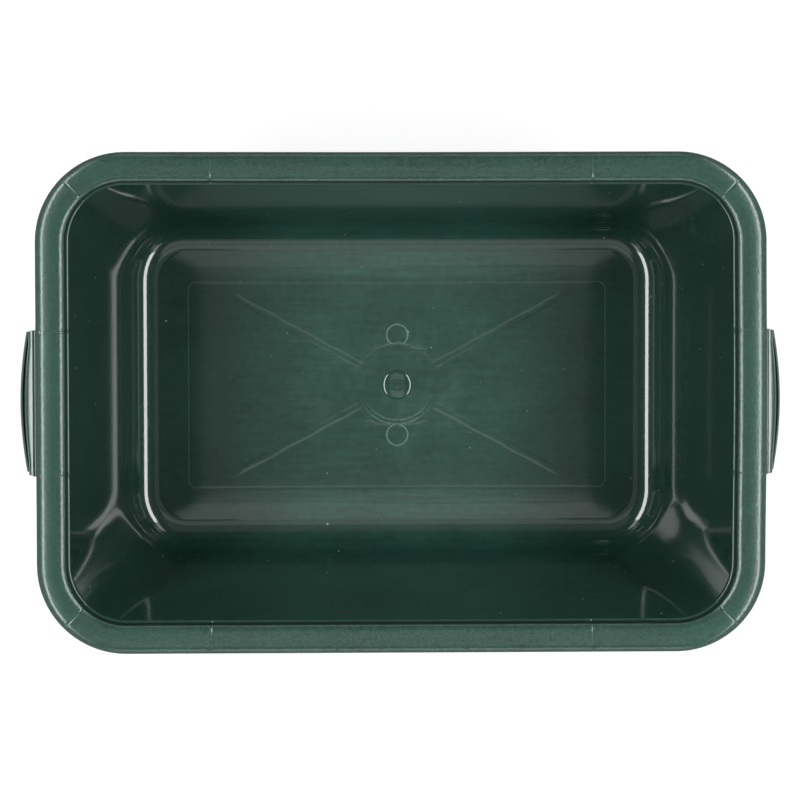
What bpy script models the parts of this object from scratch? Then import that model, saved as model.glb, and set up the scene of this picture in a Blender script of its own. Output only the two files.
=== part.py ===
"""Flexible rectangular utility tub with a hooded grip at each end.

The tub is one soft polyethylene moulding. Its features are modelled as separate
solids that meet with a hairline gap: the tapered shell, the folded rim, the two
grips, the gussets under the rim, and the stiffening under the floor.

Metres, +Z up. The origin is on the ground under the middle of the tub, and +X
runs along its length. Insets are measured inwards from the rim's outer line.
"""

import math

import bmesh
import bpy
from mathutils import Vector

# Overall sizes
RIM_LENGTH = 0.612
RIM_WIDTH = 0.420
RIM_CORNER_RADIUS = 0.075
HEIGHT = 0.200
GAP = 0.0003

# Rim section
FLANGE_WIDTH = 0.0235
SHOULDER_RADIUS = 0.0095
EDGE_RADIUS = 0.0025
RIM_THICKNESS = 0.0026
SKIRT_DEPTH = 0.024
SKIRT_DRAFT = 0.0003
STEP_DEPTH = 0.0105
STEP_DRAFT = 0.0004
LEDGE_WIDTH = 0.0024
RIM_DEPTH = 0.013

# Shell
WALL = 0.0026
FLOOR_INSET = 0.0882
COVE_RADIUS = 0.029
FOOT_CORNER_RADIUS = 0.0545
BASE_RISE = 0.0025
FLOOR_CROWN = 0.0015

# Grips
GRIP_LENGTH = 0.1225
GRIP_WALL = 0.0025
GRIP_DEPTH = 0.030
GRIP_REACH = 0.016
GRIP_END_REACH = 0.011
GRIP_END_SLANT = 0.25
SHELF_DEPTH = 0.0105
SHELF_WIDTH = 0.003
SHELF_FILLET = 0.002
KNUCKLE_DROP = 0.014
LIP_WIDTH = 0.0035
LIP_THICKNESS = 0.002

# Gussets under the rim
GUSSET_THICKNESS = 0.002
GUSSET_DEPTH = 0.022
LONG_SIDE_GUSSETS = (-0.160, -0.054, 0.054, 0.160)

# Stiffening under the floor, and the gate mark on top of it
FOOT_FRAME_LENGTH = 0.379
FOOT_FRAME_WIDTH = 0.188
FOOT_FRAME_RADIUS = 0.008
FOOT_FRAME_BAR = 0.006
HUB_RADIUS = 0.0367
HUB_BAR = 0.004
RIB_WIDTH = 0.003
RIB_CLEARANCE = 0.0008
GATE_RADIUS = 0.0135
GATE_HEIGHT = 0.0022
GATE_NUB_RADIUS = 0.004
GATE_NUB_HEIGHT = 0.0008

# Facets
CORNER_STEPS = 12
COVE_STEPS = 5
SHOULDER_STEPS = 6
EDGE_STEPS = 3
KNUCKLE_STEPS = 6
DOME_STEPS = 6
GRIP_STATIONS = 11
TURNED_STEPS = 48

# Plastic, with colours as linear values
PLASTIC_ROUGHNESS = 0.35
SMOOTH_ANGLE = 35
TUB_GREEN = (0.032, 0.095, 0.068)
RIM_GREEN = (0.045, 0.115, 0.085)

# Derived places
FLOOR_TOP = BASE_RISE + WALL
LEDGE_INSET = FLANGE_WIDTH + LEDGE_WIDTH
WALL_CORNER_RADIUS = RIM_CORNER_RADIUS - LEDGE_INSET
SHELL_TOP = HEIGHT - RIM_DEPTH - GAP
COVE_CENTRE = (FLOOR_INSET, FLOOR_TOP + COVE_RADIUS)


def wall_lean():
    """Angle of the wall from upright: the line from the ledge that touches the cove."""
    across = COVE_CENTRE[0] - LEDGE_INSET
    down = HEIGHT - STEP_DEPTH - COVE_CENTRE[1]
    to_centre = math.atan2(across, down)
    return to_centre - math.asin(COVE_RADIUS / math.hypot(across, down))


LEAN = wall_lean()


def wall_inset(z):
    """Inset of the wall's inner face at a height."""
    return LEDGE_INSET + (HEIGHT - STEP_DEPTH - z) * math.tan(LEAN)


def wall_back_inset(z):
    """Inset of the wall's outer face at a height."""
    return wall_inset(z) - WALL / math.cos(LEAN)


def arc(centre, radius_x, radius_y, start, end, steps):
    """Points along an arc of an ellipse, both ends included. Angles in degrees."""
    points = []
    for step in range(steps + 1):
        angle = math.radians(start + (end - start) * step / steps)
        points.append((centre[0] + radius_x * math.cos(angle), centre[1] + radius_y * math.sin(angle)))
    return points


def rounded_rectangle(half_x, half_y, radius):
    """Points of a rounded rectangle, anticlockwise, starting at the right-hand side."""
    points = []
    for corner, (side_x, side_y) in enumerate(((1, 1), (-1, 1), (-1, -1), (1, -1))):
        centre = (side_x * (half_x - radius), side_y * (half_y - radius))
        points += arc(centre, radius, radius, 90 * corner, 90 * corner + 90, CORNER_STEPS)
    return points


def make_collection(name):
    collection = bpy.data.collections.new(name)
    bpy.context.scene.collection.children.link(collection)
    return collection


def make_material(name, colour):
    material = bpy.data.materials.new(name)
    material.use_nodes = True
    shader = material.node_tree.nodes["Principled BSDF"]
    shader.inputs["Base Color"].default_value = (*colour, 1.0)
    shader.inputs["Roughness"].default_value = PLASTIC_ROUGHNESS
    shader.inputs["Metallic"].default_value = 0.0
    return material


def add_object(name, data, colour, smooth_angle=None):
    """Puts a piece in the tub's collection, with its own plastic."""
    item = bpy.data.objects.new(name, data)
    PARTS.objects.link(item)
    data.materials.append(make_material(name, colour))
    if smooth_angle is not None:
        data.shade_smooth()
        data.set_sharp_from_angle(angle=math.radians(smooth_angle))
    return item


def curve_data(name, points, cyclic=True):
    """A flat poly curve through the given points."""
    data = bpy.data.curves.new(name, "CURVE")
    data.dimensions = "2D"
    spline = data.splines.new("POLY")
    spline.points.add(len(points) - 1)
    for point, (x, y) in zip(spline.points, points):
        point.co = (x, y, 0.0, 1.0)
    spline.use_cyclic_u = cyclic
    return data


def swept_ring(name, path, section, height, colour):
    """Sweeps a closed section round a closed path. The section's x runs inwards."""
    profile = bpy.data.objects.new(name + "_section", curve_data(name + "_section", section))
    GUIDES.objects.link(profile)
    data = curve_data(name + "_path", path)
    data.fill_mode = "NONE"
    data.bevel_mode = "OBJECT"
    data.bevel_object = profile
    guide = bpy.data.objects.new(name + "_path", data)
    GUIDES.objects.link(guide)
    bpy.context.view_layer.update()
    mesh = bpy.data.meshes.new_from_object(guide.evaluated_get(bpy.context.evaluated_depsgraph_get()))
    bpy.data.objects.remove(guide)
    bpy.data.objects.remove(profile)
    mesh.name = name
    item = add_object(name, mesh, colour, SMOOTH_ANGLE)
    item.location.z = height
    return item


def plate_data(name, outline, thickness):
    """A flat plate: a filled outline with half its thickness to each side."""
    data = curve_data(name, outline)
    data.fill_mode = "BOTH"
    data.extrude = thickness / 2
    return data


def lofted_mesh(name, sections):
    """Joins closed sections of equal length in order, and caps the first and last."""
    bm = bmesh.new()
    rings = [[bm.verts.new(point) for point in section] for section in sections]
    count = len(rings[0])
    for lower, upper in zip(rings, rings[1:]):
        for i in range(count):
            j = (i + 1) % count
            bm.faces.new((lower[i], lower[j], upper[j], upper[i]))
    bm.faces.new(reversed(rings[0]))
    bm.faces.new(rings[-1])
    bmesh.ops.recalc_face_normals(bm, faces=bm.faces)
    mesh = bpy.data.meshes.new(name)
    bm.to_mesh(mesh)
    bm.free()
    return mesh


def turned(name, profile, height, colour):
    """Turns a profile, listed from the top down its outer side, about the vertical axis."""
    mesh = bpy.data.meshes.new(name)
    edges = [(i, i + 1) for i in range(len(profile) - 1)]
    mesh.from_pydata([(x, 0.0, z) for x, z in profile], edges, [])
    item = add_object(name, mesh, colour)
    item.location.z = height
    screw = item.modifiers.new("Turn", "SCREW")
    screw.steps = TURNED_STEPS
    screw.render_steps = TURNED_STEPS
    screw.use_merge_vertices = True
    screw.merge_threshold = GAP / 10
    return item


def cut(item, cutter):
    """Takes the cutter's shape out of a piece."""
    cutter.hide_render = True
    cutter.display_type = "WIRE"
    boolean = item.modifiers.new("Cut", "BOOLEAN")
    boolean.operation = "DIFFERENCE"
    boolean.solver = "EXACT"
    boolean.object = cutter


# Shell

def shell_outline(inset, z, radius):
    """One level of the shell, as points in space."""
    flat = rounded_rectangle(RIM_LENGTH / 2 - inset, RIM_WIDTH / 2 - inset, radius)
    return [(x, y, z) for x, y in flat]


def cove_sections(radius):
    """Levels of one face of the cove, from the floor up to the wall."""
    sections = []
    lean = math.degrees(LEAN)
    for x, z in arc(COVE_CENTRE, radius, radius, 270, 180 + lean, COVE_STEPS):
        wall_touch = COVE_CENTRE[0] - COVE_RADIUS * math.cos(LEAN)
        corner = FOOT_CORNER_RADIUS - (x - wall_touch)
        sections.append(shell_outline(x, z, corner))
    return sections


def floor_corner_radius():
    return FOOT_CORNER_RADIUS - COVE_RADIUS * math.cos(LEAN)


def floor_ridge():
    """Direction of the floor's diagonal ridges, and how far off its corners are."""
    radius = floor_corner_radius()
    back = radius - radius * math.cos(math.pi / 4)
    corner_x = RIM_LENGTH / 2 - FLOOR_INSET - back
    corner_y = RIM_WIDTH / 2 - FLOOR_INSET - back
    return math.atan2(corner_y, corner_x), math.hypot(corner_x, corner_y)


def hub_outline(z):
    """The hub's circle, with a point for each point of the floor's outline.

    The four ridges leave the hub along the floor's diagonals, so each corner's
    middle point lies on a ridge and the others share the arcs between them.
    """
    ridge, _reach = floor_ridge()
    ridges = (ridge, math.pi - ridge, math.pi + ridge, 2 * math.pi - ridge)
    half = CORNER_STEPS // 2
    points = []
    for corner in range(4):
        before = ridges[corner] - ridges[corner - 1]
        if corner == 0:
            before += 2 * math.pi
        after = ridges[(corner + 1) % 4] - ridges[corner]
        if corner == 3:
            after += 2 * math.pi
        for step in range(-half, half + 1):
            span = before if step < 0 else after
            angle = ridges[corner] + span * step / (CORNER_STEPS + 1)
            points.append((HUB_RADIUS * math.cos(angle), HUB_RADIUS * math.sin(angle), z))
    return points


def make_shell():
    """Floor, cove and leaning walls: up the outside, over the top edge, down the inside."""
    outside = [hub_outline(BASE_RISE + FLOOR_CROWN)] + cove_sections(COVE_RADIUS + WALL)
    outside.append(shell_outline(wall_back_inset(SHELL_TOP), SHELL_TOP, WALL_CORNER_RADIUS + WALL))
    inside = [hub_outline(FLOOR_TOP + FLOOR_CROWN)] + cove_sections(COVE_RADIUS)
    inside.append(shell_outline(wall_inset(SHELL_TOP), SHELL_TOP, WALL_CORNER_RADIUS))
    mesh = lofted_mesh("tub_shell", outside + inside[::-1])
    add_object("tub_shell", mesh, TUB_GREEN, SMOOTH_ANGLE)


# Rim

def rim_section():
    """Closed section of the rim, clockwise, from the foot of the skirt."""
    shoulder = (SKIRT_DRAFT + SHOULDER_RADIUS, -SHOULDER_RADIUS)
    edge = (FLANGE_WIDTH - EDGE_RADIUS, -EDGE_RADIUS)
    inner_radius = SHOULDER_RADIUS - RIM_THICKNESS
    web_inset = FLANGE_WIDTH - RIM_THICKNESS
    foot = HEIGHT - RIM_DEPTH
    points = [(0.0, -SKIRT_DEPTH)]
    points += arc(shoulder, SHOULDER_RADIUS, SHOULDER_RADIUS, 180, 90, SHOULDER_STEPS)
    points += arc(edge, EDGE_RADIUS, EDGE_RADIUS, 90, 0, EDGE_STEPS)
    points.append((FLANGE_WIDTH + STEP_DRAFT, STEP_DRAFT - STEP_DEPTH))
    points.append((LEDGE_INSET, -STEP_DEPTH))
    points.append((wall_inset(foot), -RIM_DEPTH))
    points.append((wall_back_inset(foot), -RIM_DEPTH))
    points.append((web_inset, -STEP_DEPTH))
    points.append((web_inset, -RIM_THICKNESS - EDGE_RADIUS))
    points.append((web_inset - EDGE_RADIUS, -RIM_THICKNESS))
    points += arc(shoulder, inner_radius, inner_radius, 90, 180, SHOULDER_STEPS)
    points.append((RIM_THICKNESS, -SKIRT_DEPTH))
    return points


def make_rim():
    """Flange, skirt and stacking step, open over each grip so that fingers pass."""
    path = rounded_rectangle(RIM_LENGTH / 2, RIM_WIDTH / 2, RIM_CORNER_RADIUS)
    rim = swept_ring("rim_flange", path, rim_section(), HEIGHT, RIM_GREEN)
    notch_top = HEIGHT - SHELF_DEPTH - GRIP_WALL
    notch_foot = HEIGHT - SKIRT_DEPTH - GRIP_DEPTH
    skirt_reach = RIM_THICKNESS + SHOULDER_RADIUS
    for side in (-1, 1):
        bpy.ops.mesh.primitive_cube_add(size=1.0)
        cutter = bpy.context.object
        cutter.name = "skirt_notch_left" if side < 0 else "skirt_notch_right"
        cutter.dimensions = (2 * skirt_reach, GRIP_LENGTH - 2 * GRIP_WALL, notch_top - notch_foot)
        cutter.location = (side * RIM_LENGTH / 2, 0.0, (notch_top + notch_foot) / 2)
        for owner in list(cutter.users_collection):
            owner.objects.unlink(cutter)
        GUIDES.objects.link(cutter)
        cut(rim, cutter)
    return rim


# Grips

def grip_reach(place):
    """How far the lip stands out from the rim at a place from -1 to 1 along the grip."""
    return GRIP_END_REACH + (GRIP_REACH - GRIP_END_REACH) * (1 - place * place)


def grip_body_section(reach):
    """Outer section of a grip, from the skirt over the knuckle to the lip."""
    knuckle = (SHELF_WIDTH, -SHELF_DEPTH - KNUCKLE_DROP)
    face = reach - LIP_WIDTH
    fillet = (GAP + SHELF_FILLET, SHELF_FILLET - SHELF_DEPTH)
    points = arc(fillet, SHELF_FILLET, SHELF_FILLET, 180, 270, EDGE_STEPS)
    points += arc(knuckle, face - SHELF_WIDTH, KNUCKLE_DROP, 90, 0, KNUCKLE_STEPS)
    points.append((face, LIP_THICKNESS - GRIP_DEPTH))
    points.append((reach, LIP_THICKNESS / 2 - GRIP_DEPTH))
    points.append((reach, -GRIP_DEPTH))
    points.append((GAP, -GRIP_DEPTH))
    return points


def grip_hollow_section(reach):
    """Section of the finger hollow, which runs out below the grip and past the skirt."""
    knuckle = (SHELF_WIDTH, -SHELF_DEPTH - KNUCKLE_DROP)
    face = reach - LIP_WIDTH - GRIP_WALL
    mouth = -GRIP_DEPTH - LIP_THICKNESS
    points = [(-GRIP_WALL, -SHELF_DEPTH - GRIP_WALL)]
    points += arc(knuckle, face - SHELF_WIDTH, KNUCKLE_DROP - GRIP_WALL, 90, 0, KNUCKLE_STEPS)
    points.append((face, mouth))
    points.append((-GRIP_WALL, mouth))
    return points


def grip_loft(name, section_at, half_length):
    """Runs a section along a grip. Its ends slant in towards the lip."""
    sections = []
    for station in range(GRIP_STATIONS):
        place = 2 * station / (GRIP_STATIONS - 1) - 1
        section = section_at(grip_reach(place))
        sections.append([(u, place * (half_length - GRIP_END_SLANT * u), z) for u, z in section])
    return lofted_mesh(name, sections)


def make_grips():
    """Two bowed hoods with a finger hollow below, one at each end of the tub."""
    body = grip_loft("grip", grip_body_section, GRIP_LENGTH / 2)
    hollow = grip_loft("finger_hollow", grip_hollow_section, GRIP_LENGTH / 2 - GRIP_WALL)
    for name, side in (("left_handle", -1), ("right_handle", 1)):
        grip = add_object(name, body.copy(), RIM_GREEN, SMOOTH_ANGLE)
        cutter = bpy.data.objects.new(name + "_hollow", hollow)
        GUIDES.objects.link(cutter)
        for item in (grip, cutter):
            item.location = (side * RIM_LENGTH / 2, 0.0, HEIGHT)
            item.rotation_euler.z = 0.0 if side > 0 else math.pi
        cut(grip, cutter)


# Gussets

def gusset_outline():
    """Web between the skirt and the wall: x is the inset, y the height from the rim's top."""
    under = -RIM_THICKNESS - GAP
    shoulder = (SKIRT_DRAFT + SHOULDER_RADIUS, -SHOULDER_RADIUS)
    radius = SHOULDER_RADIUS - RIM_THICKNESS - GAP
    step_face = FLANGE_WIDTH - RIM_THICKNESS - GAP
    wall_gap = GAP / math.cos(LEAN)
    points = [(RIM_THICKNESS + GAP, -GUSSET_DEPTH)]
    points.append((wall_back_inset(HEIGHT - GUSSET_DEPTH) - wall_gap, -GUSSET_DEPTH))
    points.append((wall_back_inset(HEIGHT - RIM_DEPTH) - wall_gap, -RIM_DEPTH))
    points.append((step_face, -STEP_DEPTH))
    points.append((step_face, under - EDGE_RADIUS))
    points.append((step_face - EDGE_RADIUS, under))
    points += arc(shoulder, radius, radius, 90, 180, SHOULDER_STEPS // 2)
    return points


def make_gussets():
    """Four webs along each long side, one in each corner and one by each end of a grip."""
    data = plate_data("gusset", gusset_outline(), GUSSET_THICKNESS)
    data.materials.append(make_material("gusset", RIM_GREEN))
    half_x = RIM_LENGTH / 2
    half_y = RIM_WIDTH / 2
    places = []
    for number, x in enumerate(LONG_SIDE_GUSSETS, 1):
        places.append((f"gusset_back_{number}", x, half_y, 270))
        places.append((f"gusset_front_{number}", x, -half_y, 90))
    beside_grip = GRIP_LENGTH / 2 - GRIP_WALL + GUSSET_THICKNESS / 2 + GAP
    for number, y in enumerate((-beside_grip, beside_grip), 1):
        places.append((f"gusset_left_{number}", -half_x, y, 0))
        places.append((f"gusset_right_{number}", half_x, y, 180))
    back = RIM_CORNER_RADIUS * (1 - math.cos(math.pi / 4))
    corners = (("back_right", 1, 1, 225), ("back_left", -1, 1, 315), ("front_left", -1, -1, 45),
               ("front_right", 1, -1, 135))
    for name, side_x, side_y, facing in corners:
        places.append((f"gusset_{name}", side_x * (half_x - back), side_y * (half_y - back), facing))
    for name, x, y, facing in places:
        item = bpy.data.objects.new(name, data)
        PARTS.objects.link(item)
        item.location = (x, y, HEIGHT)
        item.rotation_euler = (math.pi / 2, 0.0, math.radians(facing))


# Base

def make_foot_frame():
    """Rectangular foot that the tub stands on, under the line that shows on the floor."""
    path = rounded_rectangle(FOOT_FRAME_LENGTH / 2 + FOOT_FRAME_BAR / 2,
                             FOOT_FRAME_WIDTH / 2 + FOOT_FRAME_BAR / 2,
                             FOOT_FRAME_RADIUS + FOOT_FRAME_BAR / 2)
    top = BASE_RISE - GAP
    section = [(0.0, top), (FOOT_FRAME_BAR, top), (FOOT_FRAME_BAR - GAP, 0.0), (GAP, 0.0)]
    swept_ring("base_foot_frame", path, section, 0.0, TUB_GREEN)


def make_hub_ring():
    """Ring round the gate, under the crown of the floor."""
    inner = HUB_RADIUS - HUB_BAR
    top = BASE_RISE + FLOOR_CROWN - GAP
    profile = [(inner, RIB_CLEARANCE), (inner, top), (HUB_RADIUS, top), (HUB_RADIUS, RIB_CLEARANCE)]
    turned("base_hub_ring", profile + profile[:1], 0.0, TUB_GREEN)


def rib_end(ridge):
    """Where a rib stops, short of the side or the corner of the foot frame that it meets first."""
    half_x = FOOT_FRAME_LENGTH / 2 - FOOT_FRAME_BAR / 2 - GAP
    half_y = FOOT_FRAME_WIDTH / 2 - FOOT_FRAME_BAR / 2 - GAP
    corner = half_x + half_y - FOOT_FRAME_RADIUS
    along_x = math.cos(ridge)
    along_y = math.sin(ridge)
    half_rib = RIB_WIDTH / 2
    at_short_side = (half_x - half_rib * along_y) / along_x
    at_long_side = (half_y - half_rib * along_x) / along_y
    at_corner = (corner - half_rib * abs(along_x - along_y)) / (along_x + along_y)
    return min(at_short_side, at_long_side, at_corner)


def make_ribs():
    """Four webs from the hub ring to the foot frame, under the floor's diagonal ridges."""
    ridge, reach = floor_ridge()
    start = HUB_RADIUS + GAP + RIB_WIDTH / 2
    end = rib_end(ridge)
    slope = FLOOR_CROWN / (reach - HUB_RADIUS)
    under = BASE_RISE + FLOOR_CROWN - GAP
    outline = [(start, RIB_CLEARANCE), (end, RIB_CLEARANCE)]
    outline.append((end, under - slope * (end - HUB_RADIUS)))
    outline.append((start, under - slope * (start - HUB_RADIUS)))
    data = plate_data("diagonal_rib", outline, RIB_WIDTH)
    data.materials.append(make_material("diagonal_rib", TUB_GREEN))
    directions = (ridge, math.pi - ridge, math.pi + ridge, -ridge)
    names = ("back_right", "back_left", "front_left", "front_right")
    for name, direction in zip(names, directions):
        item = bpy.data.objects.new("base_rib_" + name, data)
        PARTS.objects.link(item)
        item.rotation_euler = (math.pi / 2, 0.0, direction)


def make_gate_button():
    """Low dome over the moulding gate, in the middle of the floor."""
    nub_top = GATE_HEIGHT + GATE_NUB_HEIGHT
    profile = [(0.0, nub_top), (GATE_NUB_RADIUS, nub_top - GATE_NUB_HEIGHT / 2)]
    nub_foot = math.degrees(math.acos(GATE_NUB_RADIUS / GATE_RADIUS))
    profile += arc((0.0, 0.0), GATE_RADIUS, GATE_HEIGHT, nub_foot, 0, DOME_STEPS)
    profile.append((0.0, 0.0))
    turned("gate_button", profile, FLOOR_TOP + FLOOR_CROWN + GAP, TUB_GREEN)


for old in list(bpy.data.objects):
    bpy.data.objects.remove(old)

PARTS = make_collection("utility_tub")
GUIDES = make_collection("cutters")

make_shell()
make_rim()
make_grips()
make_gussets()
make_foot_frame()
make_hub_ring()
make_ribs()
make_gate_button()
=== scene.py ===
"""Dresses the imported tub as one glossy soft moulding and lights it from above."""

import math

import bmesh
import bpy
import numpy as np
from mathutils import Euler, Matrix, Vector


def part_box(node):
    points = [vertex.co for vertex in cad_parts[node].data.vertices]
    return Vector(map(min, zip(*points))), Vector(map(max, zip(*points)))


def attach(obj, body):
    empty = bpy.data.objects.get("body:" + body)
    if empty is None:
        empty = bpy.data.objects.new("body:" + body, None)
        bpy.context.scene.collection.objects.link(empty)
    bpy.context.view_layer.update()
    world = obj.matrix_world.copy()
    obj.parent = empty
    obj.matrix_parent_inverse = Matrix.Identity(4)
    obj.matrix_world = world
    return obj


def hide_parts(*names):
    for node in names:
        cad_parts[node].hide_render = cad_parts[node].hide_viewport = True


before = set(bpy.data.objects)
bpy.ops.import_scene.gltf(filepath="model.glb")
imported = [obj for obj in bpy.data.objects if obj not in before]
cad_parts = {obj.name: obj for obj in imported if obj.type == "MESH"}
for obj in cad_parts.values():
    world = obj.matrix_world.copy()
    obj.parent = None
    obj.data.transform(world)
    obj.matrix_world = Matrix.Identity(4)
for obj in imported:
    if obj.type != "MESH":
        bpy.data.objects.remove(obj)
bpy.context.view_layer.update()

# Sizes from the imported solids, in metres
RIM_LOW, RIM_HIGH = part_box("rim_flange")
SHELL_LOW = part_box("tub_shell")[0]
GATE_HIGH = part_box("gate_button")[1]
HUB_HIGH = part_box("base_hub_ring")[1]
GRIP_LOW, GRIP_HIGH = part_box("right_handle")

HALF_X = RIM_HIGH.x
HALF_Y = RIM_HIGH.y
TOP = RIM_HIGH.z
SKIRT_FOOT = RIM_LOW.z
BASE = SHELL_LOW.z
HUB_RADIUS = HUB_HIGH.x
GATE_RADIUS = GATE_HIGH.x

# Sizes that the boxes do not give
GAP = 0.0003
RIM_CORNER = 0.075
FLANGE = 0.0235
SHOULDER = 0.0095
EDGE = 0.0025
SKIN = 0.0026
STEP = 0.0105
LEDGE = 0.0259
RIM_DEPTH = 0.013
COVE = 0.029
FLOOR_INSET = 0.0882
FOOT_CORNER = 0.0545
CROWN = 0.0015
FLOOR = BASE + SKIN
WALL_CORNER = RIM_CORNER - LEDGE
LEDGE_SHIFT = 0.0012
GRIP_WALL = 0.0025
GRIP_DROP = 0.002
EJECTOR_PLACE = 0.0457

# The line that the foot frame leaves on the floor: half length, half width and corner radius
FOOT_LINE_X = 0.1895
FOOT_LINE_Y = 0.094
FOOT_LINE_CORNER = 0.008

# Facets
ARC_STEPS = 20
STATION = 0.0065
MARK_OFFSETS = (-0.0042, -0.0028, -0.0019, -0.0013, -0.0008, -0.0004,
                0.0004, 0.0008, 0.0013, 0.0019, 0.0028, 0.0042)
MARK_ROOM = 0.006
CORNER_ANGLES = sorted(
    [90 * i / ARC_STEPS for i in range(ARC_STEPS + 1) if i != ARC_STEPS // 2]
    + [45 + side * t for side in (-1, 1) for t in (0.35, 0.7, 1.1, 1.6, 2.4)] + [45])
LONG_MARKS = (-0.160, -0.054, 0.054, 0.160)
SHORT_MARKS = (-0.060, 0.060)

# Depths of the marks over the gussets, and the last point of the rim's section with marks
LONG_MARK_DEPTHS = (0.00034, 0.00016, 0.00016, 0.00034)
SHORT_MARK_DEPTH = 0.00020
CORNER_MARK_DEPTH = 0.00030
UPPER_POINTS = 60


def cove_lean():
    """Angle of the wall from upright."""
    across = FLOOR_INSET - LEDGE
    down = TOP - STEP - FLOOR - COVE
    return math.atan2(across, down) - math.asin(COVE / math.hypot(across, down))


LEAN = cove_lean()
COVE_Z = FLOOR + COVE
WALL_TOUCH = FLOOR_INSET - COVE * math.cos(LEAN)
FLOOR_X = HALF_X - FLOOR_INSET
FLOOR_Y = HALF_Y - FLOOR_INSET
FLOOR_CORNER = FOOT_CORNER - COVE * math.cos(LEAN)


def wall_inset(z):
    """Inset of the wall's inner face at a height, more under the ledge than the plain wall."""
    low = 0.028
    share = min(max((z - low) / (TOP - STEP - low), 0.0), 1.0)
    return LEDGE + (TOP - STEP - z) * math.tan(LEAN) + LEDGE_SHIFT * share


def wall_corner(z):
    """Corner radius of the wall's inner face at a height."""
    low = COVE_Z - COVE * math.sin(LEAN)
    share = (z - low) / (TOP - STEP - low)
    return FOOT_CORNER + (WALL_CORNER - FOOT_CORNER) * min(max(share, 0.0), 1.0)


# Rings: every level has the same stations

def side_shares(length, marks):
    """Shares of a straight side at which it has a station, closer together by the marks."""
    count = round(length / STATION)
    places = [length * i / count for i in range(1, count)]
    places = [p for p in places if all(abs(p - length / 2 - m) > MARK_ROOM for m in marks)]
    places += [length / 2 + m + o for m in marks for o in MARK_OFFSETS + (0.0,)]
    return [p / length for p in sorted(places)]


LONG_SHARES = side_shares(2 * (HALF_X - RIM_CORNER), LONG_MARKS)
SHORT_SHARES = side_shares(2 * (HALF_Y - RIM_CORNER), SHORT_MARKS)


def ring(inset, radius, z):
    """One level as an array of points, anticlockwise from the right side."""
    half_x = HALF_X - inset
    half_y = HALF_Y - inset
    signs = ((1, 1), (-1, 1), (-1, -1), (1, -1))
    centres = [(sx * (half_x - radius), sy * (half_y - radius)) for sx, sy in signs]
    points = []
    for corner in range(4):
        cx, cy = centres[corner]
        for turn in CORNER_ANGLES:
            angle = math.radians(90 * corner + turn)
            points.append((cx + radius * math.cos(angle), cy + radius * math.sin(angle), z))
        end = points[-1]
        angle = math.radians(90 * corner + 90)
        nx, ny = centres[(corner + 1) % 4]
        start = (nx + radius * math.cos(angle), ny + radius * math.sin(angle))
        for share in (LONG_SHARES if corner % 2 == 0 else SHORT_SHARES):
            points.append((end[0] + (start[0] - end[0]) * share,
                           end[1] + (start[1] - end[1]) * share, z))
    return np.array(points)


STATIONS = len(ring(0.0, RIM_CORNER, 0.0))


def arc(cx, cz, rx, rz, start, end, steps):
    """Points of an arc in a section. Angles in degrees."""
    angles = [math.radians(start + (end - start) * i / steps) for i in range(steps + 1)]
    return [(cx + rx * math.cos(angle), cz + rz * math.sin(angle)) for angle in angles]


# Departures from the plain form, as the photograph suggests them

def smooth(x, low, high):
    """0 below low, 1 above high, and smooth between."""
    t = np.clip((x - low) / (high - low), 0.0, 1.0)
    return t * t * (3 - 2 * t)


BACK_BOW = 0.0004
END_BOW = 0.0009
END_TRIM = 0.0008
COVE_SHIFT_LEFT = 0.0012
COVE_SHIFT_RIGHT = 0.0030
COVE_SHIFT_X = (0.194, 0.212)
COVE_SHIFT_Z = (0.012, 0.075)


def bow(points):
    """Bends points as the tub in the photograph seems to be bent.

    The back side and both ends are drawn in and the right end's middle is pushed out, most at
    the rim, and the coves of the end walls sit a little further in.
    """
    p = points.copy()
    x, y, z = p.T
    low = 1 - smooth(z, *COVE_SHIFT_Z)
    p[:, 0] += low * (COVE_SHIFT_LEFT * smooth(-x, *COVE_SHIFT_X)
                      - COVE_SHIFT_RIGHT * smooth(x, *COVE_SHIFT_X))
    x = p[:, 0].copy()
    weight = smooth(z, 0.03, TOP)
    across = np.cos(np.clip(x / 0.25, -1, 1) * math.pi / 2) ** 2
    p[:, 1] -= BACK_BOW * weight * across * smooth(y, 0.02, 0.16)
    p[:, 0] -= np.sign(x) * END_TRIM * weight * smooth(np.abs(x), 0.15, 0.29)
    along = np.cos(np.clip(y / 0.15, -1, 1) * math.pi / 2) ** 2
    p[:, 0] += (END_BOW * weight * along * smooth(x, 0.02, 0.24)
                * (1 - smooth(x, HALF_X - 0.001, HALF_X + 0.02)))
    return p


def object_from(name, verts, faces, recalc=True):
    """A mesh object from points and faces, all smooth."""
    mesh = bpy.data.meshes.new(name)
    mesh.from_pydata([tuple(v) for v in verts], [], [tuple(f) for f in faces])
    if recalc:
        bm = bmesh.new()
        bm.from_mesh(mesh)
        bmesh.ops.recalc_face_normals(bm, faces=bm.faces)
        bm.to_mesh(mesh)
        bm.free()
    mesh.shade_smooth()
    item = bpy.data.objects.new(name, mesh)
    bpy.context.scene.collection.objects.link(item)
    return item


def weigh_normals(item, angle):
    """Weights the normals by face size, with edges sharp above an angle in degrees."""
    item.data.set_sharp_from_angle(angle=math.radians(angle))
    modifier = item.modifiers.new("Weighted normals", "WEIGHTED_NORMAL")
    modifier.keep_sharp = True
    modifier.weight = 60


def ring_faces(rings, count, closed=True):
    """Quads between following levels. closed joins the last level to the first."""
    faces = []
    pairs = [(i, i + 1) for i in range(rings - 1)]
    if closed:
        pairs.append((rings - 1, 0))
    for a, b in pairs:
        for j in range(count):
            k = (j + 1) % count
            faces.append((a * count + j, a * count + k, b * count + k, b * count + j))
    return faces


# Rim

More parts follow.
